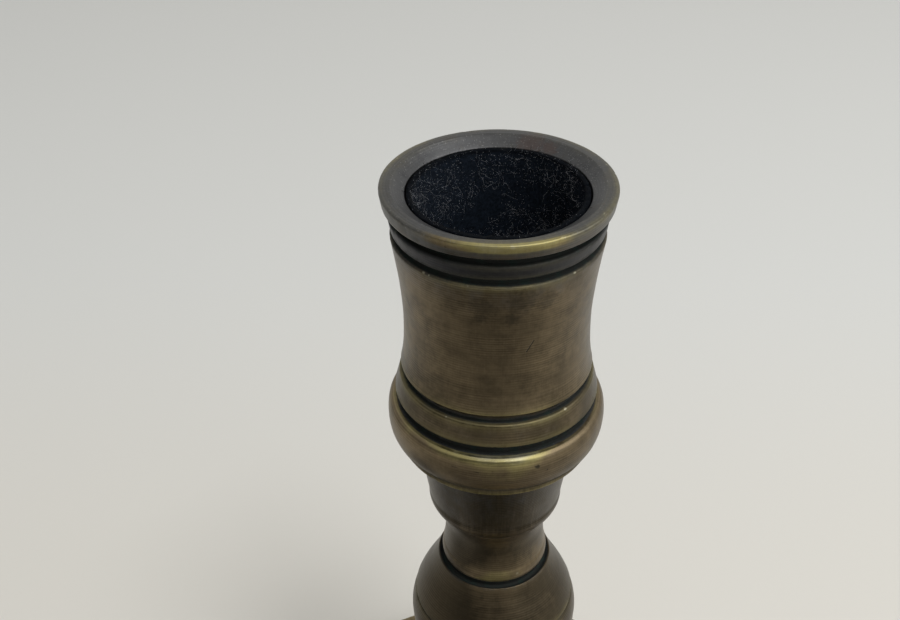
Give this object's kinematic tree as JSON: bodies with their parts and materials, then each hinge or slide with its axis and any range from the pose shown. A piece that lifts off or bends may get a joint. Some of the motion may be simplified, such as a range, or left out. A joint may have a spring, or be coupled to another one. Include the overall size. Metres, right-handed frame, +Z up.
{
  "type": "candlestick",
  "caption": "Turned antique-brass candlestick with a felt-lined taper socket, moulded bands and knop, on a round stepped base, drawn together by a hidden tie rod.",
  "frame": {"origin": "Middle of the underside of the felt ring that the candlestick stands on.", "axes": "+Z up along the turning axis; the picture was taken from the -Y side, with +X to the right."},
  "size_m": [0.09, 0.09, 0.1366],
  "materials": {
    "antique_brass": "aged, satin, turned",
    "plated_steel": "dull zinc plate",
    "dark_felt": "felt"
  },
  "bodies": {
    "root": {"base": "antique_brass", "stem_collar": "antique_brass", "knop_body": "antique_brass", "knop_shoulder": "antique_brass", "neck": "antique_brass", "bowl": "antique_brass", "candle_cup": "antique_brass", "tie_rod": "plated_steel", "top_washer": "plated_steel", "top_nut": "plated_steel", "base_washer": "plated_steel", "spring_washer": "plated_steel", "bottom_nut": "plated_steel", "base_felt_ring": "dark_felt", "socket_felt_disc": "dark_felt", "socket_felt_sleeve": "dark_felt"}
  },
  "joints": []
}
